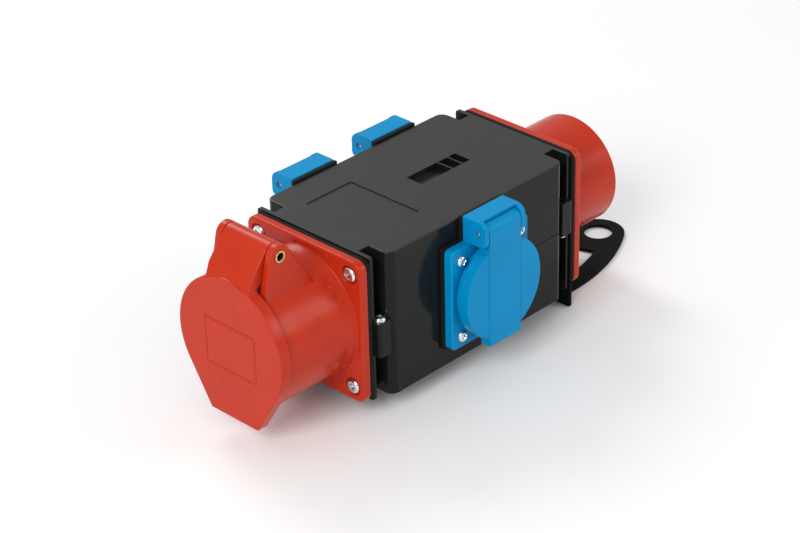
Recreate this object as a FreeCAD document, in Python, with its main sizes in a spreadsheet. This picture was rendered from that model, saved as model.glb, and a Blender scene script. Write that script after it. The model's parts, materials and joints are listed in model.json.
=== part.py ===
"""Portable power distribution box: a parametric FreeCAD model, in millimetres.

Frame: +X from the outlet end to the inlet end, +Z up. The origin lies in the middle of
the box, on the plane of its base. The sizes are cells of the Sizes sheet, and every
solid is bound to them.
"""
import FreeCAD
import Part
import Sketcher
import math
import os
import re

from FreeCAD import Placement, Rotation, Vector

doc = FreeCAD.newDocument("distribution_box")

# --- driving dimensions -------------------------------------------------------------
SIZES = {
    # box shells
    "body_length": 114, "body_width": 76, "body_height": 71.5, "shell_wall": 2.5,
    "body_corner": 4.5, "body_edge": 0.8, "neck_width": 52, "neck_length": 6,
    "plate_width": 69, "plate_thick": 2, "plate_corner": 1.2, "seam_width": 0.4,
    "seam_depth": 0.35, "tab_thick": 3.5, "boss_height": 13.5, "tab_corner": 1.5,
    "tab_inset": 0.2, "joint_lap": 0.5,
    "label_length": 28, "label_width": 42, "label_place": 34.3, "label_depth": 0.5,
    "pocket_start": -1.3, "pocket_width": 9.4, "pocket_depth": 3.5, "pocket_floor": 1.5,
    "pocket_long": 19.6, "pocket_middle": 5.8, "pocket_short": 4.4, "pocket_rib": 0.9,
    # shell screws
    "shell_screw_across": 69, "shell_screw_shank": 1.6, "shell_screw_head": 2.8,
    "shell_screw_height": 1.9, "shell_screw_grip": 12,
    # red flange parts at both ends
    "end_flange": 70, "end_flange_thick": 4.2, "end_flange_corner": 5,
    "end_flange_edge": 1.2, "end_gasket": 2, "end_screw_spacing": 56, "end_cutout": 22,
    "end_screw_shank": 2, "end_screw_head": 3.6, "end_screw_height": 2.2,
    "end_screw_grip": 5.5, "counterbore_radius": 4.3, "counterbore_depth": 1.6,
    # outlet
    "collar_radius": 30.5, "collar_wall": 3, "collar_length": 38.6, "foot_flare": 1.6,
    "foot_length": 5, "spigot_step": 1.7, "spigot_length": 2.7, "plug_gap": 4,
    "carrier_neck": 20.5, "carrier_reach": 36, "carrier_depth": 19,
    "contact_circle": 14.5, "sleeve_radius": 3.2, "sleeve_bore": 2.65,
    "earth_extra": 0.5, "sleeve_recess": 5, "sleeve_wall_end": 6, "key_width": 12,
    "key_height": 1.8, "hinge_place": 28.8, "hinge_lift": 14.7, "hinge_pin": 2.75,
    "hinge_pin_wall": 0.85, "hinge_pin_proud": 0.3, "hinge_gap": 0.05,
    "knuckle_wall": 2.65, "arm_half": 13.2, "ear_inner": 13.5, "ear_thick": 3.5,
    "ear_root": 6.5, "ear_rear": 9.2, "ear_setback": 1.2, "lid_rise": 2,
    "lid_thick": 5.8, "lid_wall": 2.5, "lid_clearance": 1, "lid_rim": 2.2,
    "lid_gap": 0.3, "lid_foot_half": 14.5, "lid_foot_reach": 5.2, "arm_root": 14,
    "arm_bend": 1, "arm_knee": 5, "arm_slope": 2.2, "arm_clearance": 0.5,
    # inlet
    "shroud_radius": 27, "shroud_bore": 24.3, "shroud_length": 35.3,
    "pin_carrier_radius": 22, "pin_carrier_neck": 18.5, "pin_carrier_front": 4,
    "pin_carrier_depth": 19, "pin_radius": 2.5, "pin_reach": 31, "tail_length": 3,
    # hanger
    "hanger_thick": 1.5, "hanger_half": 35.5, "hanger_drop": 9.7, "hanger_top": 70,
    "hanger_reach": 63, "hanger_nose": 13, "hanger_hole": 7, "hanger_side": 108,
    "hanger_bulge": 13, "hanger_rim": 10, "hanger_bar": 12, "hanger_root": 6,
    "hanger_corner": 1.8,
    # blue flange sockets
    "socket_flange": 50, "socket_flange_thick": 4.5, "socket_corner": 2.5,
    "socket_edge": 0.8, "socket_gasket": 2, "socket_gasket_margin": 0.5,
    "socket_screw_spacing": 38, "socket_screw_shank": 1.5, "socket_screw_head": 2.75,
    "socket_screw_height": 1.7, "socket_screw_grip": 9.5, "socket_clearance": 0.3,
    "rear_socket_place": 25.5, "well_radius": 19.5, "well_depth": 17.3,
    "well_wall": 1.7, "rim_wall": 2.2, "rim_height": 12.3, "floor_thick": 3,
    "block_half_length": 13, "block_half_height": 7, "block_depth": 17,
    "pole_spacing": 19, "pole_radius": 2.9, "pole_bore": 2.4, "pole_tail": 0.5,
    "clip_width": 6, "clip_thick": 1, "clip_inset": 0.3, "clip_reach": 8,
    "strap_thick": 1.6, "clip_gap": 0.2, "cover_rim": 1.7, "cover_back": 9,
    "cover_front": 15, "cover_wall": 2, "cover_clearance": 0.6, "band_half": 10.3,
    "band_proud": 0.5, "band_reach": 1.5, "band_lap": 1.5, "socket_ear_inner": 10.6,
    "socket_ear_outer": 13, "socket_ear_foot": 25, "socket_ear_top": 37.3,
    "socket_ear_front": 15.6, "canopy_thick": 1.1, "canopy_front": 12,
    "socket_back_wall": 5.9, "socket_pin_out": 11, "socket_pin_rise": 31,
    "socket_pin": 1.5, "socket_pin_sunk": 1, "socket_pin_dimple": 0.7,
    "dimple_depth": 0.4, "socket_knuckle_wall": 3.1,
    "socket_ear_round": 4.5, "socket_ear_toe": 2.5, "spring_slot": 4.2,
    "seal_thick": 0.5, "seal_width": 1.8, "seal_inset": 0.2, "screw_clearance": 0.25,
    # springs and wires
    "spring_wire": 0.45, "thin_spring_wire": 0.36, "spring_turns": 5,
    "spring_gap": 0.12, "spring_room": 0.1, "end_spring_slot": 6, "main_wire": 1.7,
    "wire_lane": 8.5, "branch_wire": 1.5, "branch_lane": 4, "branch_level": 11,
    "wire_bend": 3.5, "wire_straight": 5, "wire_swing": 14,
}

# what fits another piece, as a sum of sizes
FITS = {
    "collar_bore": "collar_radius - collar_wall",
    "spigot_radius": "collar_radius - spigot_step",
    "carrier_radius": "collar_radius - collar_wall - plug_gap",
    "hinge_rise": "collar_radius + hinge_lift",
    "hinge_pin_bore": "hinge_pin - hinge_pin_wall",
    "knuckle_radius": "hinge_pin + knuckle_wall",
    "lid_cavity": "spigot_radius + lid_clearance",
    "lid_radius": "lid_cavity + lid_rim",
    "end_coil": "hinge_pin + spring_gap + spring_wire",
    "end_coil_room": "end_coil + spring_wire + spring_room",
    "socket_cutout": "well_radius + well_wall + socket_clearance",
    "rim_radius": "well_radius + rim_wall",
    "clip_radius": "well_radius - clip_inset",
    "cover_cavity": "rim_radius + cover_clearance",
    "cover_radius": "cover_cavity + cover_rim",
    "band_foot": "cover_radius + band_reach",
    "socket_knuckle": "socket_pin + socket_knuckle_wall",
    "socket_coil": "socket_pin + spring_gap + thin_spring_wire",
    "socket_coil_room": "socket_coil + thin_spring_wire + spring_room",
    "end_screw_way": "end_screw_shank + screw_clearance",
    "socket_screw_way": "socket_screw_shank + screw_clearance",
}

sheet = doc.addObject("Spreadsheet::Sheet", "Sizes")
for row, (alias, number) in enumerate(SIZES.items(), start=1):
    sheet.set(f"A{row}", alias)
    sheet.set(f"B{row}", str(number))
    sheet.setAlias(f"B{row}", alias)
doc.recompute()

AXIS_TURN = {
    "X": Rotation(Vector(0, 1, 0), 90),
    "Y": Rotation(Vector(1, 0, 0), -90),
    "Z": Rotation(),
}
QUARTER = ((-1, -1), (1, -1), (1, 1), (-1, 1))
nodes = []


def value(name):
    """Return a size, or a fit added up from sizes, as a number."""
    if name not in FITS:
        return float(sheet.get(name))
    total = 0.0
    sign = 1
    for word in FITS[name].split():
        if word in ("+", "-"):
            sign = 1 if word == "+" else -1
        else:
            total += sign * value(word)
    return total


def cells(text):
    """Write an expression of sizes and fits with the sheet's own cells."""
    def cell(match):
        word = match.group(1)
        return f"({cells(FITS[word])})" if word in FITS else f"Sizes.{word}"
    return re.sub(r"\b([a-z_]+)\b", cell, str(text))


def bind(item, path, text):
    """Bind one property of an object to an expression of sizes and fits."""
    item.setExpression(path, cells(text))


def place(item, x="0", y="0", z="0", turn=None):
    """Set an object's rotation, and bind its position."""
    if turn is not None:
        item.Placement = Placement(Vector(), turn)
    for axis, text in zip("xyz", (x, y, z)):
        bind(item, f"Placement.Base.{axis}", text)


def box(name, x, y, z):
    """Make a box from its low and high limits along each axis."""
    item = doc.addObject("Part::Box", name)
    for prop, (low, high) in zip(("Length", "Width", "Height"), (x, y, z)):
        bind(item, prop, f"({high}) - ({low})")
    place(item, x[0], y[0], z[0])
    return item


def rod(name, radius, axis, span, at=("0", "0")):
    """Make a cylinder along an axis; at is its centre on the two other axes."""
    item = doc.addObject("Part::Cylinder", name)
    bind(item, "Radius", radius)
    bind(item, "Height", f"({span[1]}) - ({span[0]})")
    where = {
        "X": (span[0], at[0], at[1]),
        "Y": (at[0], span[0], at[1]),
        "Z": (at[0], at[1], span[0]),
    }[axis]
    place(item, *where, turn=AXIS_TURN[axis])
    return item


def fuse(name, *parts):
    """Join solids into one."""
    item = doc.addObject("Part::MultiFuse", name)
    item.Shapes = list(parts)
    item.Refine = True
    return item


def cut(name, base, *tools):
    """Cut tools out of a base."""
    item = doc.addObject("Part::Cut", name)
    item.Base = base
    item.Tool = tools[0] if len(tools) == 1 else fuse(name + "_tools", *tools)
    return item


def common(name, *parts):
    """Keep what the solids share."""
    item = doc.addObject("Part::MultiCommon", name)
    item.Shapes = list(parts)
    return item


def rounded(name, base, choose):
    """Fillet the edges for which choose(edge) gives a radius."""
    doc.recompute()
    picks = []
    for number, edge in enumerate(base.Shape.Edges, start=1):
        radius = choose(edge)
        if radius:
            picks.append((number, radius, radius))
    item = doc.addObject("Part::Fillet", name)
    item.Base = base
    item.Edges = picks
    return item


def feature(name, shape, where=None):
    """Keep a shape that is made directly from the sheet's values."""
    item = doc.addObject("Part::Feature", name)
    item.Shape = shape
    if where is not None:
        item.Placement = where
    return item


def node(label, item):
    """Name a finished piece; its label names its file."""
    item.Label = label
    nodes.append(item)
    return item


def along(edge, axis):
    """Tell whether a straight edge runs along an axis."""
    ends = [vertex.Point for vertex in edge.Vertexes]
    if len(ends) != 2 or not isinstance(edge.Curve, Part.Line):
        return False
    way = (ends[1] - ends[0]).normalize()
    return abs(abs(way.dot(axis)) - 1) < 1e-6


def on_plane(edge, axis, level):
    """Tell whether a whole edge lies on the plane where an axis has a level."""
    limits = edge.BoundBox
    low, high = {
        "X": (limits.XMin, limits.XMax),
        "Y": (limits.YMin, limits.YMax),
        "Z": (limits.ZMin, limits.ZMax),
    }[axis]
    return abs(low - level) < 1e-4 and abs(high - level) < 1e-4


def middle(text="0"):
    """Give an expression for a height counted from the box's middle."""
    return f"body_height/2 + ({text})"


def flat_plate(name, width, height, thick, holes):
    """Pad a centred rectangle with round holes, as a PartDesign body on its XY plane.

    holes holds (x, y, radius) expressions; a centre is written as a sign and a distance.
    """
    body = doc.addObject("PartDesign::Body", name)
    plane = next(p for p in body.Origin.OriginFeatures if p.Role == "XY_Plane")
    sketch = body.newObject("Sketcher::SketchObject", name + "_outline")
    sketch.AttachmentSupport = (plane, "")
    sketch.MapMode = "FlatFace"
    corners = [Vector(-10, -10), Vector(10, -10), Vector(10, 10), Vector(-10, 10)]
    for start, end in zip(corners, corners[1:] + corners[:1]):
        sketch.addGeometry(Part.LineSegment(start, end), False)
    for line in range(4):
        sketch.addConstraint(
            Sketcher.Constraint("Coincident", line, 2, (line + 1) % 4, 1))
    for line, way in ((0, "Horizontal"), (1, "Vertical"), (2, "Horizontal"), (3, "Vertical")):
        sketch.addConstraint(Sketcher.Constraint(way, line))
    limits = (
        ("DistanceX", (0, 1, -1, 1), width), ("DistanceX", (-1, 1, 0, 2), width),
        ("DistanceY", (0, 1, -1, 1), height), ("DistanceY", (-1, 1, 2, 1), height),
    )
    for way, ends, text in limits:
        number = sketch.addConstraint(Sketcher.Constraint(way, *ends, 10.0))
        bind(sketch, f"Constraints[{number}]", f"({text})/2")
    for x, y, radius in holes:
        circle = sketch.addGeometry(Part.Circle(
            Vector(4 * x[0], 4 * y[0]), Vector(0, 0, 1), 1), False)
        number = sketch.addConstraint(Sketcher.Constraint("Radius", circle, 1.0))
        bind(sketch, f"Constraints[{number}]", radius)
        for way, (sign, text), axis in (("DistanceX", x, -2), ("DistanceY", y, -1)):
            if sign == 0:
                sketch.addConstraint(Sketcher.Constraint("PointOnObject", circle, 3, axis))
                continue
            ends = (-1, 1, circle, 3) if sign > 0 else (circle, 3, -1, 1)
            number = sketch.addConstraint(Sketcher.Constraint(way, *ends, 4.0))
            bind(sketch, f"Constraints[{number}]", text)
    pad = body.newObject("PartDesign::Pad", name + "_pad")
    pad.Profile = sketch
    bind(pad, "Length", thick)
    return body


def round_corners(body, radius):
    """Fillet a plate body's four upright outer edges."""
    doc.recompute()
    pad = body.Tip
    limits = pad.Shape.BoundBox
    names = []
    for number, edge in enumerate(pad.Shape.Edges, start=1):
        centre = edge.BoundBox.Center
        outer = (abs(abs(centre.x) - limits.XMax) < 1e-4
                 and abs(abs(centre.y) - limits.YMax) < 1e-4)
        if outer and along(edge, Vector(0, 0, 1)):
            names.append(f"Edge{number}")
    fillet = body.newObject("PartDesign::Fillet", body.Name + "_corners")
    fillet.Base = (pad, names)
    bind(fillet, "Radius", radius)
    return body


# a screw head's shape, as shares of its radius and its height
CROWN_SHARE = 1.35
SLOT_REACH_SHARE = 0.55
SLOT_HALF_SHARE = 0.11
SLOT_FLOOR_SHARE = 0.45
STEM_TOP_SHARE = 0.3


def screw(name, head, height, shank, grip):
    """Make a domed cross-recess screw along Z, seated on Z = 0, with its head above."""
    crown_radius = f"{head}*{CROWN_SHARE}"
    slot_reach = f"{head}*{SLOT_REACH_SHARE}"
    slot_half = f"{head}*{SLOT_HALF_SHARE}"
    slot_span = (f"{height}*{SLOT_FLOOR_SHARE}", height)
    dome = doc.addObject("Part::Sphere", name + "_dome")
    bind(dome, "Radius", crown_radius)
    place(dome, "0", "0", f"{height} - {crown_radius}")
    crown = common(name + "_crown", dome, rod(name + "_rim", head, "Z", ("0", height)))
    stem = rod(name + "_stem", shank, "Z", (f"-({grip})", f"{height}*{STEM_TOP_SHARE}"))
    slots = [
        box(name + "_slot_a", (f"-{slot_reach}", slot_reach),
            (f"-{slot_half}", slot_half), slot_span),
        box(name + "_slot_b", (f"-{slot_half}", slot_half),
            (f"-{slot_reach}", slot_reach), slot_span),
    ]
    return cut(name, fuse(name + "_blank", crown, stem), *slots)


def group(label, parts):
    """Keep like pieces together as one node of separate solids."""
    item = doc.addObject("Part::Compound", label)
    item.Links = parts
    return node(label, item)


def coil(radius, wire, span, turns):
    """Wind an open coil about Z, from Z = 0 up to its span."""
    helix = Part.makeHelix(span / turns, span, radius)
    start = helix.Edges[0].valueAt(helix.Edges[0].FirstParameter)
    tangent = helix.Edges[0].tangentAt(helix.Edges[0].FirstParameter)
    profile = Part.Wire([Part.makeCircle(wire, start, tangent)])
    return Part.Wire(helix.Edges).makePipeShell([profile], True, True)


def cable(radius, points, bend):
    """Sweep a round wire along straight runs that are joined by tangent arcs."""
    edges = []
    last = points[0]
    for before, corner, after in zip(points, points[1:], points[2:]):
        arriving = (corner - before).normalize()
        leaving = (after - corner).normalize()
        turn = arriving.getAngle(leaving)
        reach = min((corner - before).Length, (after - corner).Length) * 0.48
        trim = min(bend * math.tan(turn / 2), reach)
        first = corner - arriving * trim
        second = corner + leaving * trim
        swing = trim / math.tan(turn / 2)
        inward = (leaving - arriving).normalize()
        centre = corner + inward * (swing / math.cos(turn / 2))
        bulge = centre - inward * swing
        edges.append(Part.LineSegment(last, first).toShape())
        edges.append(Part.Arc(first, bulge, second).toShape())
        last = second
    edges.append(Part.LineSegment(last, points[-1]).toShape())
    path = Part.Wire(edges)
    way = (points[1] - points[0]).normalize()
    profile = Part.Wire([Part.makeCircle(radius, points[0], way)])
    return path.makePipeShell([profile], True, False)


# --- box shells ---------------------------------------------------------------------
END = "body_length/2"
PLATE_IN = "body_length/2 + neck_length"
PLATE_OUT = "body_length/2 + neck_length + plate_thick"


def body_edges(edge):
    """Give the radius of each outer edge of the box's block."""
    if along(edge, Vector(0, 0, 1)):
        return value("body_corner")
    return 0


def block_rim(edge):
    """Give the small radius of the block's top and bottom outline."""
    if on_plane(edge, "Z", 0) or on_plane(edge, "Z", value("body_height")):
        return value("body_edge")
    return 0


def plate_edges(edge):
    """Give the radius of an end plate's four corners."""
    return value("plate_corner") if along(edge, Vector(1, 0, 0)) else 0


def whole_shell():
    """Build both shells as one hollow solid, before it is parted."""
    block = box("block", (f"-{END}", END), ("-body_width/2", "body_width/2"),
                ("0", "body_height"))
    block = rounded("block_rim", rounded("block_corners", block, body_edges), block_rim)
    neck = box("neck", (f"-({PLATE_IN})", PLATE_IN), ("-neck_width/2", "neck_width/2"),
               ("0", "body_height"))
    plates = []
    for side, span in (("outlet", (f"-({PLATE_OUT})", f"-({PLATE_IN})")),
                       ("inlet", (PLATE_IN, PLATE_OUT))):
        plate = box(f"{side}_plate", span, ("-plate_width/2", "plate_width/2"),
                    ("0", "body_height"))
        plates.append(rounded(f"{side}_plate_corners", plate, plate_edges))
    outside = fuse("shell_outside", block, neck, *plates)
    tub_end = ("pocket_start + pocket_long + pocket_middle + pocket_short"
               " + 2*pocket_rib + pocket_floor")
    hollow = box("hollow", (f"-{END} + shell_wall", f"{END} - shell_wall"),
                 ("-body_width/2 + shell_wall", "body_width/2 - shell_wall"),
                 ("shell_wall", "body_height - shell_wall"))
    channel = box("neck_hollow", (f"-({PLATE_IN})", PLATE_IN),
                  ("-neck_width/2 + shell_wall", "neck_width/2 - shell_wall"),
                  ("shell_wall", "body_height - shell_wall"))
    tub = box("pocket_tub", ("pocket_start - pocket_floor", tub_end),
              ("-pocket_width/2 - pocket_floor", "pocket_width/2 + pocket_floor"),
              ("body_height - pocket_depth - pocket_floor", "body_height"))
    inside = cut("shell_inside", fuse("hollows", hollow, channel), tub)
    return cut("shell_hollowed", outside, inside)


def shell_openings():
    """List the cutters of every opening in the shells."""
    reach = f"{PLATE_OUT} + 1"
    tools = [rod("end_bores", "end_cutout", "X", (f"-({reach})", reach),
                 ("0", middle()))]
    sockets = (("front", "0", ("-body_width/2 - 1", "0")),
               ("rear_left", "-rear_socket_place", ("0", "body_width/2 + 1")),
               ("rear_right", "rear_socket_place", ("0", "body_width/2 + 1")))
    for name, x, span in sockets:
        tools.append(rod(f"{name}_cutout", "socket_cutout", "Y", span, (x, middle())))
        for number, (across, up) in enumerate(QUARTER):
            tools.append(rod(
                f"{name}_thread_{number}", "socket_screw_shank", "Y", span,
                (f"{x} + ({across})*socket_screw_spacing/2",
                 middle(f"({up})*socket_screw_spacing/2"))))
    for number, (across, up) in enumerate(QUARTER):
        at = (f"({across})*end_screw_spacing/2", middle(f"({up})*end_screw_spacing/2"))
        for side, span in (("outlet", (f"-({reach})", f"-({PLATE_IN}) + 1")),
                           ("inlet", (f"{PLATE_IN} - 1", reach))):
            tools.append(rod(f"{side}_thread_{number}", "end_screw_shank", "X", span, at))
    tools.append(box("label_recess",
                     ("-label_place - label_length/2", "-label_place + label_length/2"),
                     ("-label_width/2", "label_width/2"),
                     ("body_height - label_depth", "body_height + 1")))
    start = "pocket_start"
    for width in ("pocket_long", "pocket_middle", "pocket_short"):
        tools.append(box(width + "_cutter", (start, f"{start} + {width}"),
                         ("-pocket_width/2", "pocket_width/2"),
                         ("body_height - pocket_depth", "body_height + 1")))
        start = f"{start} + {width} + pocket_rib"
    for side in (-1, 1):
        faces = {"body": ("body_width/2", f"-{END}", END)}
        for end, low, high in (("outlet", f"-({PLATE_OUT}) - 1", f"-({PLATE_IN})"),
                               ("inlet", PLATE_IN, f"{PLATE_OUT} + 1")):
            faces[end] = ("plate_width/2", low, high)
        for name, (face, low, high) in faces.items():
            inner, outer = f"{face} - seam_depth", f"{face} + 1"
            span = (inner, outer) if side > 0 else (f"-({outer})", f"-({inner})")
            tools.append(box(f"{name}_seam_{'rear' if side > 0 else 'front'}",
                             (low, high), span,
                             (middle("-seam_width/2"), middle("seam_width/2"))))
    return tools


def lug_corner(edge):
    """Give the radius of a screw lug's free upright corner."""
    centre = edge.BoundBox.Center
    beyond = (abs(centre.x) > value("body_length") / 2 + value("neck_length")
              and abs(centre.y) > value("plate_width") / 2)
    return value("tab_corner") if beyond and along(edge, Vector(0, 0, 1)) else 0


def half_shell(name, opened, upper):
    """Keep one half of the parted shell, and add its screw tabs and bosses."""
    limits = (middle(), "body_height + 2") if upper else ("-2", middle())
    reach = f"{PLATE_OUT} + 2"
    half = box(name + "_half", (f"-({reach})", reach),
               ("-body_width", "body_width"), limits)
    kept = common(name + "_shape", opened, half)
    lugs = []
    bores = []
    for end in (-1, 1):
        tall = (end > 0) == upper
        height = "boss_height" if tall else "tab_thick"
        levels = (middle(), middle(height)) if upper else (middle(f"-{height}"), middle())
        near, far = f"({END} - joint_lap)", f"({PLATE_IN} + joint_lap)"
        span = (near, far) if end > 0 else (f"-{far}", f"-{near}")
        for side in (-1, 1):
            inner, outer = "(neck_width/2 - joint_lap)", "(body_width/2 - tab_inset)"
            across = (inner, outer) if side > 0 else (f"-{outer}", f"-{inner}")
            tag = f"{name}_{'inlet' if end > 0 else 'outlet'}_{'rear' if side > 0 else 'front'}"
            lug = box(tag + "_lug", span, across, levels)
            lugs.append(rounded(tag + "_lug_corner", lug, lug_corner))
            bores.append(rod(tag + "_bore", "shell_screw_shank", "Z",
                             (middle("-20"), middle("20")),
                             (f"({end})*({END} + neck_length/2)",
                              f"({side})*shell_screw_across/2")))
    return node(name, cut(name, fuse(name + "_blank", kept, *lugs), *bores))


def build_shells():
    """Make the two shell halves and the four screws that close them."""
    opened = cut("shell_opened", whole_shell(), *shell_openings())
    half_shell("upper_shell", opened, True)
    half_shell("lower_shell", opened, False)
    screws = []
    for end in (-1, 1):
        for side in (-1, 1):
            tag = f"shell_screw_{'inlet' if end > 0 else 'outlet'}_{'rear' if side > 0 else 'front'}"
            item = screw(tag, "shell_screw_head", "shell_screw_height",
                         "shell_screw_shank", "shell_screw_grip")
            turn = Rotation(Vector(1, 0, 0), 180 if end > 0 else 0)
            seat = middle("-tab_thick" if end > 0 else "tab_thick")
            place(item, f"({end})*({END} + neck_length/2)",
                  f"({side})*shell_screw_across/2", seat, turn)
            screws.append(item)
    group("shell_screws", screws)


# --- red flange parts ---------------------------------------------------------------
CONTACT_ANGLES = (-90, -18, 54, 126, 198)
FLANGE_HOLES = [((across, "end_screw_spacing/2"), (up, "end_screw_spacing/2"),
                 "end_screw_way") for across, up in QUARTER]
OUTLET_SEAT = f"-({PLATE_OUT})"
OUTLET_BACK = f"-({PLATE_OUT} + end_gasket)"
OUTLET_FACE = f"-({PLATE_OUT} + end_gasket + end_flange_thick)"
INLET_SEAT = f"{PLATE_OUT} + hanger_thick"
INLET_BACK = f"{INLET_SEAT} + end_gasket"
INLET_FACE = f"{INLET_BACK} + end_flange_thick"
FACE_OUTLET = Rotation(Vector(0, 0, 1), Vector(0, 1, 0), Vector(1, 0, 0), "ZYX")


def contact_places():
    """Give the five contacts' places about the flange's middle; the first is earth."""
    circle = value("contact_circle")
    for angle in CONTACT_ANGLES:
        turn = math.radians(angle)
        yield f"{circle * math.cos(turn):.4f}", f"{circle * math.sin(turn):.4f}"


def end_flange(name, low, high, outer_sign):
    """Make a red flange with rounded corners, a soft front edge and sunk screw seats."""
    flange = box(name + "_slab", (low, high), ("-end_flange/2", "end_flange/2"),
                 (middle("-end_flange/2"), middle("end_flange/2")))
    flange = rounded(name + "_corners", flange, lambda edge: value("end_flange_corner")
                     if along(edge, Vector(1, 0, 0)) else 0)
    doc.recompute()
    limits = flange.Shape.BoundBox
    face = limits.XMin if outer_sign < 0 else limits.XMax
    flange = rounded(name + "_edge", flange, lambda edge: value("end_flange_edge")
                     if on_plane(edge, "X", face) else 0)
    return flange


def flange_holes(name, low, high, outer_sign):
    """List the cutters of a red flange's screw holes and their sunk seats."""
    tools = []
    for number, (across, up) in enumerate(QUARTER):
        at = (f"({across})*end_screw_spacing/2", middle(f"({up})*end_screw_spacing/2"))
        tools.append(rod(f"{name}_hole_{number}", "end_screw_way", "X",
                         (f"{low} - 1", f"{high} + 1"), at))
        seat = ((f"{high} - counterbore_depth", f"{high} + 1") if outer_sign > 0
                else (f"{low} - 1", f"{low} + counterbore_depth"))
        tools.append(rod(f"{name}_seat_{number}", "counterbore_radius", "X", seat, at))
    return tools


def end_screws(label, seat, outer_sign):
    """Make the four screws of a red flange."""
    screws = []
    for number, (across, up) in enumerate(QUARTER):
        item = screw(f"{label}_{number}", "end_screw_head", "end_screw_height",
                     "end_screw_shank", "end_screw_grip")
        place(item, seat, f"({across})*end_screw_spacing/2",
              middle(f"({up})*end_screw_spacing/2"),
              Rotation(Vector(0, 1, 0), 90 * outer_sign))
        screws.append(item)
    group(label, screws)


def end_gasket(label, start):
    """Make the flat seal behind a red flange, as a body turned to face along X."""
    holes = [((0, "0"), (0, "0"), "end_cutout")] + FLANGE_HOLES
    body = round_corners(
        flat_plate(label, "end_flange", "end_flange", "end_gasket", holes),
        "end_flange_corner")
    place(body, start, "0", middle(), Rotation(Vector(0, 1, 0), 90))
    node(label, body)


def flared_foot(name, radius, face, outer_sign):
    """Make the short cone where a round collar grows out of its flange."""
    foot = doc.addObject("Part::Cone", name)
    bind(foot, "Radius1", f"{radius} + foot_flare")
    bind(foot, "Radius2", radius)
    bind(foot, "Height", "foot_length")
    place(foot, face, "0", middle(), Rotation(Vector(0, 1, 0), 90 * outer_sign))
    return foot


def hinge_x():
    """Give the outlet hinge's X place, outside the flange's face."""
    return f"{OUTLET_FACE} - hinge_place"


def touch_point(start, centre, radius, side):
    """Find where a line from a start point touches a circle, on its left or right side."""
    across = centre[0] - start[0]
    up = centre[1] - start[1]
    reach = math.hypot(across, up)
    way = math.atan2(up, across) + side * math.asin(radius / reach)
    run = math.sqrt(reach ** 2 - radius ** 2)
    return start[0] + run * math.cos(way), start[1] + run * math.sin(way)


def profile_prism(name, points, low, high):
    """Extrude an outline of the XZ plane from one Y to another."""
    corners = [Vector(x, low, z) for x, z in points]
    face = Part.Face(Part.makePolygon(corners + corners[:1]))
    return feature(name, face.extrude(Vector(0, high - low, 0)))


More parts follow.
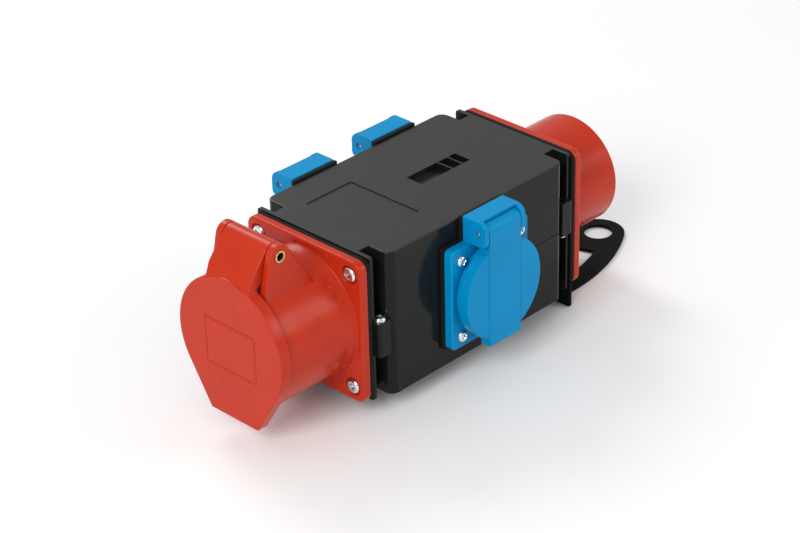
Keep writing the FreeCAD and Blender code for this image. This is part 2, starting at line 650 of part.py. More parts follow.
def build_outlet():
    """Make the five-pole outlet with its sprung lid."""
    mid = value("body_height") / 2
    face = -(value("body_length") / 2 + value("neck_length") + value("plate_thick")
             + value("end_gasket") + value("end_flange_thick"))
    pin_x = face - value("hinge_place")
    pin_z = mid + value("hinge_rise")
    knuckle = value("knuckle_radius")
    collar_end = f"{OUTLET_FACE} - collar_length"
    end_gasket("outlet_gasket", OUTLET_BACK)

    # housing: flange, collar, spigot, key and the two hinge ears
    flange = end_flange("outlet_flange", OUTLET_FACE, OUTLET_BACK, -1)
    collar = rod("collar", "collar_radius", "X", (collar_end, OUTLET_FACE),
                 ("0", middle()))
    foot = flared_foot("collar_foot", "collar_radius", OUTLET_FACE, -1)
    spigot = rod("spigot", "spigot_radius", "X",
                 (f"{collar_end} - spigot_length", collar_end), ("0", middle()))
    key = box("outlet_key", (collar_end, OUTLET_FACE), ("-key_width/2", "key_width/2"),
              (middle("-collar_radius - key_height"), middle("-collar_bore - collar_wall/3")))
    solids = [flange, collar, foot, spigot, key]
    lid_back = face - value("collar_length") - value("lid_gap")
    ear_front = lid_back + value("ear_setback")
    ear_rear = face - value("ear_rear")
    ear_top = mid + value("collar_radius")
    ear_low = ear_top - value("ear_root")
    ear_points = [
        touch_point((ear_front, ear_top), (pin_x, pin_z), knuckle, 1),
        (ear_front, ear_top), (ear_front, ear_low), (ear_rear, ear_low),
        touch_point((ear_rear, ear_low), (pin_x, pin_z), knuckle, -1)]
    for side in (-1, 1):
        near = side * value("ear_inner")
        far = side * (value("ear_inner") + value("ear_thick"))
        fin = profile_prism(f"ear_fin_{side + 1}", ear_points, min(near, far),
                            max(near, far))
        across = (("ear_inner", "ear_inner + ear_thick") if side > 0
                  else ("-ear_inner - ear_thick", "-ear_inner"))
        eye = rod(f"ear_eye_{side + 1}", "knuckle_radius", "Y", across,
                  (hinge_x(), middle("hinge_rise")))
        solids += [fin, eye]
    bore = rod("collar_hollow", "collar_bore", "X",
               (f"{collar_end} - spigot_length - 1", OUTLET_FACE), ("0", middle()))
    seat = rod("carrier_seat", "carrier_neck", "X",
               (f"{OUTLET_FACE} - 1", f"{OUTLET_BACK} + 1"), ("0", middle()))
    pin_bore = rod("ear_bore", "hinge_pin", "Y",
                   ("-ear_inner - ear_thick - 1", "ear_inner + ear_thick + 1"),
                   (hinge_x(), middle("hinge_rise")))
    blank = fuse("outlet_blank", *solids)
    node("outlet_housing", cut("outlet_housing", blank, bore, seat, pin_bore,
                               *flange_holes("outlet", OUTLET_FACE, OUTLET_BACK, -1)))

    # contact carrier and its five sleeves
    front = f"{OUTLET_FACE} - carrier_reach"
    drum = rod("carrier_drum", "carrier_radius", "X", (front, OUTLET_FACE),
               ("0", middle()))
    neck = rod("carrier_neck_rod", "carrier_neck", "X",
               (OUTLET_FACE, f"{OUTLET_FACE} + carrier_depth"), ("0", middle()))
    holes = []
    sleeves = []
    for number, (y, z) in enumerate(contact_places()):
        extra = "earth_extra" if number == 0 else "0"
        at = (y, middle(z))
        holes.append(rod(f"sleeve_seat_{number}", f"sleeve_radius + {extra}", "X",
                         (f"{front} - 1", f"{OUTLET_FACE} + carrier_depth + 1"), at))
        tube = rod(f"sleeve_{number}_blank", f"sleeve_radius + {extra}", "X",
                   (f"{front} + sleeve_recess", f"{OUTLET_FACE} + carrier_depth"), at)
        inner = rod(f"sleeve_{number}_bore", f"sleeve_bore + {extra}", "X",
                    (front, f"{OUTLET_FACE} + carrier_depth - sleeve_wall_end"), at)
        sleeves.append(cut(f"sleeve_{number}", tube, inner))
    node("outlet_contact_carrier",
         cut("outlet_contact_carrier", fuse("carrier_blank", drum, neck), *holes))
    group("outlet_contact_sleeves", sleeves)
    end_screws("outlet_screws", f"{OUTLET_FACE} + counterbore_depth", -1)

    # lid: round front, tapered foot, hinge arm, hollow back
    back = f"{collar_end} - lid_gap"
    front = f"{back} - lid_thick"
    middle_z = middle("lid_rise")
    disc = rod("lid_disc", "lid_radius", "X", (front, back), ("0", middle_z))
    front_x = lid_back - value("lid_thick")
    radius = value("lid_radius")
    rise = value("lid_rise")
    foot_y = value("lid_foot_half")
    foot_z = -radius - value("lid_foot_reach")
    touch = touch_point((foot_y, foot_z), (0, 0), radius, -1)
    outline = [touch, (foot_y, foot_z), (-foot_y, foot_z), (-touch[0], touch[1])]
    corners = [Vector(front_x, y, mid + rise + z) for y, z in outline]
    shield = feature("lid_shield", Part.Face(Part.makePolygon(
        corners + corners[:1])).extrude(Vector(value("lid_thick"), 0, 0)))
    arm_low = mid + radius - value("arm_root")
    arm_back = (lid_back, mid + radius + value("arm_clearance"))
    arm_knee = (front_x + value("arm_slope"), mid + radius + value("arm_knee"))
    arm_points = [
        (front_x, arm_low), (front_x, mid + radius - value("arm_bend")), arm_knee,
        touch_point(arm_knee, (pin_x, pin_z), knuckle, 1), (pin_x, pin_z),
        touch_point(arm_back, (pin_x, pin_z), knuckle, -1), arm_back,
        (lid_back, arm_low)]
    arm = profile_prism("lid_arm", arm_points, -value("arm_half"), value("arm_half"))
    knuckle_rod = rod("lid_knuckle", "knuckle_radius", "Y", ("-arm_half", "arm_half"),
                      (hinge_x(), middle("hinge_rise")))
    blank = fuse("lid_blank", disc, shield, arm, knuckle_rod)
    hollow = rod("lid_hollow", "lid_cavity", "X", (f"{front} + lid_wall", f"{back} + 1"),
                 ("0", middle()))
    pin_way = rod("lid_pin_way", "hinge_pin + hinge_gap", "Y",
                  ("-arm_half - 1", "arm_half + 1"), (hinge_x(), middle("hinge_rise")))
    spring_span = ("-end_spring_slot", "end_spring_slot")
    spring_room = rod("lid_spring_room", "end_coil_room", "Y", spring_span,
                      (hinge_x(), middle("hinge_rise")))
    slot = box("lid_spring_slot", (hinge_x(), f"{hinge_x()} + knuckle_radius + joint_lap"),
               spring_span, (middle("hinge_rise - end_coil_room"),
                             middle("hinge_rise + end_coil_room")))
    node("outlet_lid", cut("outlet_lid", blank, hollow, pin_way, spring_room, slot))
    ring = rod("lid_seal_blank", "spigot_radius - seal_inset", "X",
               (f"{front} + lid_wall", f"{front} + lid_wall + seal_thick"),
               ("0", middle()))
    ring_hole = rod("lid_seal_hole", "spigot_radius - seal_width", "X", (front, back),
                    ("0", middle()))
    node("outlet_lid_seal", cut("outlet_lid_seal", ring, ring_hole))

    # hinge tube and closing spring
    tube = rod("lid_pin_blank", "hinge_pin", "Y",
               ("-ear_inner - ear_thick - hinge_pin_proud",
                "ear_inner + ear_thick + hinge_pin_proud"),
               (hinge_x(), middle("hinge_rise")))
    tube_bore = rod("lid_pin_bore", "hinge_pin_bore", "Y",
                    ("-ear_inner - ear_thick - 1", "ear_inner + ear_thick + 1"),
                    (hinge_x(), middle("hinge_rise")))
    node("outlet_lid_pin", cut("outlet_lid_pin", tube, tube_bore))
    wire = value("spring_wire")
    span = 2 * (value("end_spring_slot") - 2 * wire)
    spring = coil(value("end_coil"), wire, span, value("spring_turns"))
    node("outlet_lid_spring", feature("outlet_lid_spring", spring, Placement(
        Vector(pin_x, span / 2, pin_z), Rotation(Vector(1, 0, 0), 90))))


def build_inlet():
    """Make the five-pin inlet with its shroud."""
    end_gasket("inlet_gasket", INLET_SEAT)
    mouth = f"{INLET_FACE} + shroud_length"
    flange = end_flange("inlet_flange", INLET_BACK, INLET_FACE, 1)
    shroud = rod("shroud", "shroud_radius", "X", (INLET_FACE, mouth), ("0", middle()))
    foot = flared_foot("shroud_foot", "shroud_radius", INLET_FACE, 1)
    key = box("inlet_key", (INLET_FACE, mouth), ("-key_width/2", "key_width/2"),
              (middle("-shroud_radius - key_height"),
               middle("-(shroud_radius + shroud_bore)/2")))
    hollow = rod("shroud_hollow", "shroud_bore", "X", (INLET_FACE, f"{mouth} + 1"),
                 ("0", middle()))
    seat = rod("pin_carrier_seat", "pin_carrier_neck", "X",
               (f"{INLET_BACK} - 1", f"{INLET_FACE} + 1"), ("0", middle()))
    blank = fuse("inlet_blank", flange, shroud, foot, key)
    node("inlet_housing", cut("inlet_housing", blank, hollow, seat,
                              *flange_holes("inlet", INLET_BACK, INLET_FACE, 1)))
    drum = rod("pin_carrier_drum", "pin_carrier_radius", "X",
               (INLET_FACE, f"{INLET_FACE} + pin_carrier_front"), ("0", middle()))
    neck = rod("pin_carrier_neck_rod", "pin_carrier_neck", "X",
               (f"{INLET_FACE} - pin_carrier_depth", INLET_FACE), ("0", middle()))
    holes = []
    pins = []
    for number, (y, z) in enumerate(contact_places()):
        radius = "pin_radius + " + ("earth_extra" if number == 0 else "0")
        at = (y, middle(z))
        span = (f"{INLET_FACE} - pin_carrier_depth - tail_length",
                f"{INLET_FACE} + pin_reach")
        holes.append(rod(f"pin_seat_{number}", radius, "X", span, at))
        pins.append(rounded(f"pin_{number}", rod(f"pin_{number}_blank", radius, "X",
                                                 span, at), pin_tip))
    node("inlet_pin_carrier",
         cut("inlet_pin_carrier", fuse("pin_carrier_blank", drum, neck), *holes))
    group("inlet_pins", pins)
    end_screws("inlet_screws", f"{INLET_FACE} - counterbore_depth", 1)


def pin_tip(edge):
    """Give the radius of a contact pin's outer end."""
    limits = edge.BoundBox
    at_end = limits.XMax - limits.XMin < 1e-6 and limits.XMin > value("body_length") * 0.7
    return value("pin_radius") * 0.5 if at_end else 0


def build_hanger():
    """Make the sheet hanger: an upright leg behind the inlet and an arched loop."""
    thick = value("hanger_thick")
    seat = value("body_length") / 2 + value("neck_length") + value("plate_thick")
    mid = value("body_height") / 2
    low = -value("hanger_drop")
    half = value("hanger_half")
    leg = box("hanger_leg", (PLATE_OUT, f"{PLATE_OUT} + hanger_thick"),
              ("-hanger_half", "hanger_half"), ("-hanger_drop", "hanger_top"))
    leg = rounded("hanger_leg_corners", leg, lambda edge: value("plate_corner")
                  if along(edge, Vector(1, 0, 0)) else 0)
    nose_x = seat + value("hanger_reach")
    bulge_x = seat + value("hanger_bulge")
    side = value("hanger_side")
    nose = value("hanger_nose")
    offset = math.sqrt((side - nose) ** 2 - (nose_x - bulge_x) ** 2)
    flat = Vector(0, 0, 1)

    def disc(x, y, radius):
        face = Part.Face(Part.Wire([Part.makeCircle(radius, Vector(x, y, low), flat)]))
        return face.extrude(Vector(0, 0, thick))

    def slab(x_low, x_high, half_width):
        return Part.makeBox(x_high - x_low, 2 * half_width, thick,
                            Vector(x_low, -half_width, low))

    touch_x = bulge_x + (nose_x - bulge_x) * side / (side - nose)
    lens = disc(bulge_x, offset, side).common(disc(bulge_x, -offset, side))
    outer = lens.common(slab(seat + thick, touch_x, half)).fuse(disc(nose_x, 0, nose))
    root = slab(seat, bulge_x, side - offset)
    inner_side = side - value("hanger_rim")
    window = disc(bulge_x, offset, inner_side).common(disc(bulge_x, -offset, inner_side))
    window = window.common(slab(seat + thick + value("hanger_root"), touch_x, half))
    window = window.cut(disc(nose_x, 0, value("hanger_hole") + value("hanger_bar")))
    loop = outer.fuse(root).removeSplitter().cut(window)
    loop = loop.cut(disc(nose_x, 0, value("hanger_hole")))
    sharp = []
    for edge in loop.Edges:
        centre = edge.BoundBox.Center
        if (along(edge, Vector(0, 0, 1)) and centre.x > seat + thick + 1
                and abs(centre.y) < half * 0.6 and centre.x < nose_x - nose * 0.6):
            sharp.append(edge)
    loop = loop.makeFillet(value("hanger_corner"), sharp)
    holes = [rod("hanger_bore", "end_cutout", "X", (f"{PLATE_OUT} - 1", f"{PLATE_OUT} + 5"),
                 ("0", middle()))]
    for number, (across, up) in enumerate(QUARTER):
        holes.append(rod(f"hanger_hole_{number}", "end_screw_way", "X",
                         (f"{PLATE_OUT} - 1", f"{PLATE_OUT} + 5"),
                         (f"({across})*end_screw_spacing/2",
                          middle(f"({up})*end_screw_spacing/2"))))
    blank = fuse("hanger_blank", leg, feature("hanger_loop", loop))
    node("hanger_bracket", cut("hanger_bracket", blank, *holes))


# --- blue flange sockets ------------------------------------------------------------
def socket_parts(name, x, front):
    """Make one two-pole earthed socket; it faces -Y, and a rear one is turned about."""
    turn = Rotation() if front else Rotation(Vector(0, 0, 1), 180)
    base_y = "-body_width/2" if front else "body_width/2"

    def settle(item):
        place(item, x, base_y, middle(), turn)
        return item

    def out(low, high):
        return f"-({high})", f"-({low})"

    back = "socket_gasket"
    face = "socket_gasket + socket_flange_thick"
    wide = ("-socket_ear_outer", "socket_ear_outer")

    # gasket
    pad = box(name + "_gasket_pad",
              ("-socket_flange/2 - socket_gasket_margin",
               "socket_flange/2 + socket_gasket_margin"), out("0", back),
              ("-socket_flange/2 - socket_gasket_margin",
               "socket_flange/2 + socket_gasket_margin"))
    ear_pad = box(name + "_gasket_ear",
                  ("-socket_ear_outer - socket_gasket_margin",
                   "socket_ear_outer + socket_gasket_margin"), out("0", back),
                  ("0", "socket_ear_top - socket_gasket_margin"))
    holes = [rod(f"{name}_gasket_hole", "socket_cutout", "Y", out("-1", f"{back} + 1"))]
    for number, (across, up) in enumerate(QUARTER):
        holes.append(rod(f"{name}_gasket_hole_{number}", "socket_screw_way", "Y",
                         out("-1", f"{back} + 1"),
                         (f"({across})*socket_screw_spacing/2",
                          f"({up})*socket_screw_spacing/2")))
    node(name + "_gasket", settle(cut(
        name + "_gasket", fuse(name + "_gasket_blank", pad, ear_pad), *holes)))

    # housing: flange, well, rim, back wall, ears and canopy of the hinge
    flange = box(name + "_flange", ("-socket_flange/2", "socket_flange/2"),
                 out(back, face), ("-socket_flange/2", "socket_flange/2"))
    flange = rounded(name + "_flange_corners", flange, lambda edge: value("socket_corner")
                     if along(edge, Vector(0, 1, 0)) else 0)
    level = -(value("socket_gasket") + value("socket_flange_thick"))
    flange = rounded(name + "_flange_edge", flange, lambda edge: value("socket_edge")
                     if on_plane(edge, "Y", level) else 0)
    well = rod(name + "_well", "well_radius + well_wall", "Y",
               out("rim_height - well_depth - floor_thick", face))
    rim = rod(name + "_rim", "rim_radius", "Y", out(back, "rim_height"))
    wall = box(name + "_hinge_wall", wide, out(back, "socket_back_wall"),
               ("socket_ear_foot - 2", "socket_ear_top"))
    canopy = box(name + "_canopy", wide, out(back, "canopy_front"),
                 ("socket_ear_top - canopy_thick", "socket_ear_top"))
    ears = []
    for side in (-1, 1):
        across = (("socket_ear_inner", "socket_ear_outer") if side > 0
                  else ("-socket_ear_outer", "-socket_ear_inner"))
        ear = box(f"{name}_ear_{side + 1}", across, out(back, "socket_ear_front"),
                  ("socket_ear_foot", "socket_ear_top"))
        ears.append(rounded(f"{name}_ear_round_{side + 1}", ear, ear_edges))
    cutters = [
        rod(name + "_well_hollow", "well_radius", "Y", out("-30", "rim_height + 1")),
        rod(name + "_ear_bore", "socket_pin", "X",
            ("-socket_ear_outer - 1", "socket_ear_outer + 1"),
            ("-socket_pin_out", "socket_pin_rise"))]
    for number, (across, up) in enumerate(QUARTER):
        cutters.append(rod(f"{name}_hole_{number}", "socket_screw_way", "Y",
                           out("0", f"{face} + 1"),
                           (f"({across})*socket_screw_spacing/2",
                            f"({up})*socket_screw_spacing/2")))
    blank = fuse(name + "_housing_blank", flange, well, rim, wall, canopy, *ears)
    node(name + "_housing", settle(cut(name + "_housing", blank, *cutters)))

    # insert with the two poles' sleeves and the earth clip
    floor = "rim_height - well_depth"
    disc_back = f"{floor} - floor_thick"
    block_back = f"{disc_back} - block_depth"
    disc = rod(name + "_floor", "well_radius", "Y", out(disc_back, floor))
    block = box(name + "_block", ("-block_half_length", "block_half_length"),
                out(block_back, disc_back), ("-block_half_height", "block_half_height"))
    slots = [box(name + "_strap_slot", ("-clip_width/2 - clip_gap", "clip_width/2 + clip_gap"),
                 out(f"{disc_back} - strap_thick - 2*clip_gap", disc_back),
                 ("-block_half_height - 1", "block_half_height + 1"))]
    for side in (-1, 1):
        edge = ("clip_radius - clip_thick - clip_gap", "well_radius + 1")
        span = edge if side > 0 else (f"-({edge[1]})", f"-({edge[0]})")
        slots.append(box(f"{name}_clip_slot_{side + 1}",
                         ("-clip_width/2 - clip_gap", "clip_width/2 + clip_gap"),
                         out(f"{disc_back} - 1", f"{floor} + 1"), span))
    sleeves = []
    for side in (-1, 1):
        at = (f"({side})*pole_spacing/2", "0")
        slots.append(rod(f"{name}_pole_seat_{side + 1}", "pole_radius", "Y",
                         out(f"{block_back} - 1", f"{floor} + 1"), at))
        tube = rod(f"{name}_pole_{side + 1}_blank", "pole_radius", "Y",
                   out(f"{block_back} - pole_tail", f"{floor} - 1"), at)
        bore = rod(f"{name}_pole_{side + 1}_bore", "pole_bore", "Y",
                   out(f"{block_back} + 4", floor), at)
        sleeves.append(settle(cut(f"{name}_pole_{side + 1}", tube, bore)))
    node(name + "_insert", settle(cut(
        name + "_insert", fuse(name + "_insert_blank", disc, block), *slots)))
    group(name + "_contact_sleeves", sleeves)
    strap = [box(name + "_strap", ("-clip_width/2", "clip_width/2"),
                 out(f"{disc_back} - strap_thick - clip_gap", f"{disc_back} - clip_gap"),
                 ("-clip_radius", "clip_radius"))]
    for side in (-1, 1):
        span = (("clip_radius - clip_thick", "clip_radius") if side > 0
                else ("-clip_radius", "clip_thick - clip_radius"))
        strap.append(box(f"{name}_clip_{side + 1}", ("-clip_width/2", "clip_width/2"),
                         out(f"{disc_back} - strap_thick - clip_gap", "clip_reach"), span))
    node(name + "_earth_clip", settle(fuse(name + "_earth_clip", *strap)))

    # lid, seal, pin and spring
    cover = rod(name + "_cover", "cover_radius", "Y", out("cover_back", "cover_front"))
    level = -value("cover_front")
    cover = rounded(name + "_cover_edge", cover, lambda edge: value("socket_edge") * 0.75
                    if on_plane(edge, "Y", level) else 0)
    band = box(name + "_band", ("-band_half", "band_half"),
               out("cover_front - cover_wall", "cover_front + band_proud"),
               ("-band_foot", "socket_pin_rise"))
    toe = box(name + "_toe", ("-band_half", "band_half"),
              out("cover_back + 1", "cover_front + band_proud"),
              ("-band_foot", "band_lap - cover_cavity"))
    arm = box(name + "_arm", ("-band_half", "band_half"),
              out("cover_back", "cover_front + band_proud"),
              ("cover_cavity - band_lap", "socket_pin_rise"))
    knuckle = rod(name + "_knuckle", "socket_knuckle", "X", ("-band_half", "band_half"),
                  ("-socket_pin_out", "socket_pin_rise"))
    cavity = rod(name + "_cover_hollow", "cover_cavity", "Y",
                 out("cover_back - 1", "cover_front - cover_wall"))
    pin_way = rod(name + "_pin_way", "socket_pin + hinge_gap", "X",
                  ("-band_half - 1", "band_half + 1"),
                  ("-socket_pin_out", "socket_pin_rise"))
    spring_span = ("-spring_slot", "spring_slot")
    spring_room = rod(name + "_spring_room", "socket_coil_room", "X", spring_span,
                      ("-socket_pin_out", "socket_pin_rise"))
    slot = box(name + "_spring_slot", spring_span, out("0", "socket_pin_out"),
               ("socket_pin_rise - socket_coil_room", "socket_pin_rise + socket_coil_room"))
    blank = fuse(name + "_lid_blank", cover, band, toe, arm, knuckle)
    node(name + "_lid", settle(cut(name + "_lid", blank, cavity, pin_way, spring_room, slot)))
    ring = rod(name + "_seal_blank", "rim_radius", "Y",
               out("cover_front - cover_wall - seal_thick", "cover_front - cover_wall"))
    hole = rod(name + "_seal_hole", "rim_radius - seal_width", "Y",
               out("0", "cover_front"))
    node(name + "_lid_seal", settle(cut(name + "_lid_seal", ring, hole)))
    axle = ("-socket_pin_out", "socket_pin_rise")
    pin_end = "socket_ear_outer - socket_pin_sunk"
    pin = rod(name + "_pin_blank", "socket_pin", "X", (f"-({pin_end})", pin_end), axle)
    dimples = [rod(f"{name}_pin_dimple_{side}", "socket_pin_dimple", "X", span, axle)
               for side, span in (
                   ("left", ("-socket_ear_outer", f"dimple_depth - ({pin_end})")),
                   ("right", (f"{pin_end} - dimple_depth", "socket_ear_outer")))]
    node(name + "_lid_pin", settle(cut(name + "_lid_pin", pin, *dimples)))
    wire = value("thin_spring_wire")
    span = 2 * (value("spring_slot") - 2 * wire)
    spring = coil(value("socket_coil"), wire, span, value("spring_turns"))
    local = Placement(Vector(-span / 2, -value("socket_pin_out"), value("socket_pin_rise")),
                      Rotation(Vector(0, 1, 0), 90))
    spot = Vector(rear_place(name), (-1 if front else 1) * value("body_width") / 2,
                  value("body_height") / 2)
    node(name + "_lid_spring",
         feature(name + "_lid_spring", spring, Placement(spot, turn) * local))

    # screws
    screws = []
    for number, (across, up) in enumerate(QUARTER):
        item = screw(f"{name}_screw_{number}", "socket_screw_head", "socket_screw_height",
                     "socket_screw_shank", "socket_screw_grip")
        outward = Rotation(Vector(1, 0, 0), 90 if front else -90)
        side = 1 if front else -1
        place(item, f"{x} + ({across})*socket_screw_spacing/2",
              f"({-side})*(body_width/2 + {face})",
              middle(f"({up})*socket_screw_spacing/2"), outward)
        screws.append(item)
    group(name + "_screws", screws)


def rear_place(name):
    """Give a socket's X place as a number."""
    return {"front": 0.0, "rear_left": -1.0, "rear_right": 1.0}[
        name.replace("_socket", "")] * value("rear_socket_place")


def ear_edges(edge):
    """Give the radii of a socket ear's two front corners."""
    centre = edge.BoundBox.Center
    if not along(edge, Vector(1, 0, 0)):
        return 0
    if abs(centre.y + value("socket_ear_front")) > 1e-4:
        return 0
    top = abs(centre.z - value("socket_ear_top")) < 1e-4
    return value("socket_ear_round") if top else value("socket_ear_toe")


# --- internal wiring ----------------------------------------------------------------
def build_wiring():
    """Run five main conductors through the box, and three wires to each socket."""
    mid = value("body_height") / 2
    half = value("body_length") / 2 + value("neck_length") + value("plate_thick")
    start = -(half + value("end_gasket") + value("end_flange_thick")
              - value("carrier_depth"))
    inlet = half + value("hanger_thick") + value("end_gasket") + value("end_flange_thick")
    end = inlet - value("pin_carrier_depth") - value("tail_length")
    names = ("earth_wire", "line_one_wire", "line_two_wire", "line_three_wire",
             "neutral_wire")
    bend = value("wire_bend")
    lane = value("wire_lane")
    straight = value("wire_straight")
    swing = value("wire_swing")
    for label, (y, z) in zip(names, contact_places()):
        y, z = float(y), mid + float(z)
        inner = max(-lane, min(lane, y))
        points = [Vector(start, y, z), Vector(end, y, z)]
        if inner != y:
            points[1:1] = [Vector(start + straight, y, z), Vector(start + swing, inner, z),
                           Vector(end - swing, inner, z), Vector(end - straight, y, z)]
        node(label, feature(label, cable(value("main_wire"), points, bend)))

    # each socket's two pole wires and its earth wire run back to the inlet
    tail = (value("body_width") / 2 + value("rim_height") - value("well_depth")
            - value("floor_thick") - value("block_depth") - value("pole_tail"))
    strap = (value("body_width") / 2 + value("rim_height") - value("well_depth")
             - value("floor_thick") - value("strap_thick") - value("clip_gap"))
    finish = inlet - value("pin_carrier_depth")
    rear = value("rear_socket_place")
    routes = (  # name, place, side, rise of the pole wires, lane of the earth wire
        ("front_socket", 0, -1, 9, -7), ("rear_left_socket", -rear, 1, 13, 6.5),
        ("rear_right_socket", rear, 1, 5, 11.5))
    for name, x, side, rise, earth_lane in routes:
        wires = []
        for pole in (-1, 1):
            pole_x = x + pole * value("pole_spacing") / 2
            lane_y = value("branch_lane") * pole
            points = [Vector(pole_x, side * tail, mid), Vector(pole_x, lane_y, mid),
                      Vector(pole_x, lane_y, mid + rise), Vector(finish, lane_y, mid + rise)]
            wires.append(cable(value("branch_wire"), points, bend))
        level = mid - value("branch_level")
        points = [Vector(x, side * strap, level), Vector(x, earth_lane, level),
                  Vector(finish, earth_lane, level)]
        wires.append(cable(value("branch_wire"), points, bend))
        node(name + "_wires", feature(name + "_wires", Part.makeCompound(wires)))


def finish_document():
    """Recompute, check every object, and write each piece's STEP file."""
    doc.recompute()
    for item in doc.Objects:
        if "Invalid" in item.State or "Error" in item.State:
            raise RuntimeError(f"{item.Label} failed: {item.State}")
    os.makedirs("parts", exist_ok=True)
    for item in nodes:
        shape = item.Shape
        if shape.isNull() or not shape.isValid() or shape.Volume <= 0:
            raise RuntimeError(f"{item.Label} has no valid solid")
        shape.exportStep(os.path.join("parts", item.Label + ".step"))


build_shells()
build_hanger()
build_outlet()
build_inlet()
socket_parts("front_socket", "0", True)
socket_parts("rear_left_socket", "-rear_socket_place", False)
socket_parts("rear_right_socket", "rear_socket_place", False)
build_wiring()
finish_document()
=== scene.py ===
"""Looks of the portable power distribution box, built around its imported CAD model."""
import json
import math

import bmesh
import bpy
from bpy.props import FloatProperty, FloatVectorProperty, IntProperty, PointerProperty
from mathutils import Matrix, Vector
from mathutils.bvhtree import BVHTree


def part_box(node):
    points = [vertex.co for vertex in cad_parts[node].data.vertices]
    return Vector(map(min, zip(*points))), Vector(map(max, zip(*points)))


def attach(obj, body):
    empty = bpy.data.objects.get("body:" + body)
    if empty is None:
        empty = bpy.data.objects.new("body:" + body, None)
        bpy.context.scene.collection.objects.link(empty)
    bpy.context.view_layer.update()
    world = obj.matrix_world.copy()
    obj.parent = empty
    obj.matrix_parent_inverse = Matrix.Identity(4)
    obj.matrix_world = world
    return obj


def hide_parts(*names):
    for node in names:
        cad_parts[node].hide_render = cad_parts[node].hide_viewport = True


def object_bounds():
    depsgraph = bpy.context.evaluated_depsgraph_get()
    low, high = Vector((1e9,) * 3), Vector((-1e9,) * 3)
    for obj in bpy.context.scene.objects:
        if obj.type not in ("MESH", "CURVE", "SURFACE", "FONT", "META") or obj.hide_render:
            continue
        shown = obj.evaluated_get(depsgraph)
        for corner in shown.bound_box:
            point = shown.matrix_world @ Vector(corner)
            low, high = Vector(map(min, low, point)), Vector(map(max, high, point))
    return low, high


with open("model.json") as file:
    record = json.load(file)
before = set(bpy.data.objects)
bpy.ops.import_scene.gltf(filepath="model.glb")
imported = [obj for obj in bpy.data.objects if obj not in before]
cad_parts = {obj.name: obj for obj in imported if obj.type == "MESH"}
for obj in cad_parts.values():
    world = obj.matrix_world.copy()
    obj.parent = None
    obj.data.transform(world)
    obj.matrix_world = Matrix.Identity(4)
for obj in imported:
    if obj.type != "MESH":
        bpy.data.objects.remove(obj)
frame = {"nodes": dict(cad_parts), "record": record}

bl_info = {
    "name": "Distribution Box Looks",
    "version": (1, 0, 0),
    "blender": (4, 5, 0),
    "location": "3D View > Sidebar > Box",
    "description": "Builds the visible pieces of a portable power distribution box",
    "category": "Object",
}

CAD_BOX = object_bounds()
MM = 0.001

# clean-up of a copied CAD mesh: joining distance, flatness, and how near counts as level
MERGE_DISTANCE = 0.04 * MM
FLAT_ANGLE = math.radians(0.6)
LEVEL_GAP = 1e-6

# how far a rounded edge's corner may lie from the shape, as a share of its width
STRAY_SHARE = 0.5

# the least upright part of a normal that counts as a shell's top or bottom
TOP_SHARE = 0.7

# a screw head's shape, as shares of its height or its radius
HEAD_ROUND_SHARE = 0.72
RECESS_TOP_SHARE = 1.2
RECESS_FLOOR_SHARE = 0.3
RECESS_REACH_SHARE = 0.56
RECESS_HALF_SHARE = 0.15
RECESS_TAPER = 0.55
HEAD_SEGMENTS = 48
HEAD_ROUND_STEPS = 7

# the screws' shanks, and the turn of each cross in radians
SHELL_SHANK = 1.6 * MM
END_SHANK = 2 * MM
SOCKET_SHANK = 1.5 * MM
SHANK_SEGMENTS = 24
SCREW_TURNS = (0.35, 1.1, 0.6, 0.15)

# the collar's ejector marks: place along the collar, degrees above its front
COLLAR_RADIUS = 30.5 * MM
COLLAR_MARKS = ((-77.4 * MM, 43.0), (-89.3 * MM, 28.5), (-77.3 * MM, -28.3))

# an ejector mark's shape, as shares of its radius or its height
MARK_TOP_SHARE = 0.8
MARK_RIM_SHARE = 0.3
MARK_DISH_SHARE = 0.7
MARK_SEGMENTS = 20

# where the red lid's frame begins and ends, across and up, in metres
FRAME_CUTS = {
    "y": (-0.0155, -0.0150, 0.0150, 0.0155),
    "z": (0.0240, 0.0245, 0.0465, 0.0470),
}
FACING_SHARE = 0.99

# the middle range of a noise pattern, which the finishes spread or tint
PATTERN_LOW, PATTERN_HIGH = 0.3, 0.7

# the wires' coverings, by slot
COVERINGS = {
    "earth_cover": (0.30, 0.42, 0.02),
    "brown_cover": (0.10, 0.035, 0.015),
    "black_cover": (0.012, 0.012, 0.012),
    "grey_cover": (0.25, 0.25, 0.26),
    "blue_cover": (0.02, 0.12, 0.45),
}

# the stage: the floor, the camera's film, and the lamps' place, size and power
FLOOR_HALF = 3.0
FLOOR_GAP = 0.2 * MM
FILM_WIDTH = 36
LAMP_AIM = Vector((0, 0, 0.03))
LAMPS = {
    "key": ((-1.25, -0.45, 1.0), 0.8, 15),
    "fill": ((0.9, -1.2, 0.8), 0.8, 5),
    "rim": ((0.3, 1.2, 1.1), 0.7, 9),
}

NODES = frame["nodes"]
SOCKETS = ("front_socket", "rear_left_socket", "rear_right_socket")


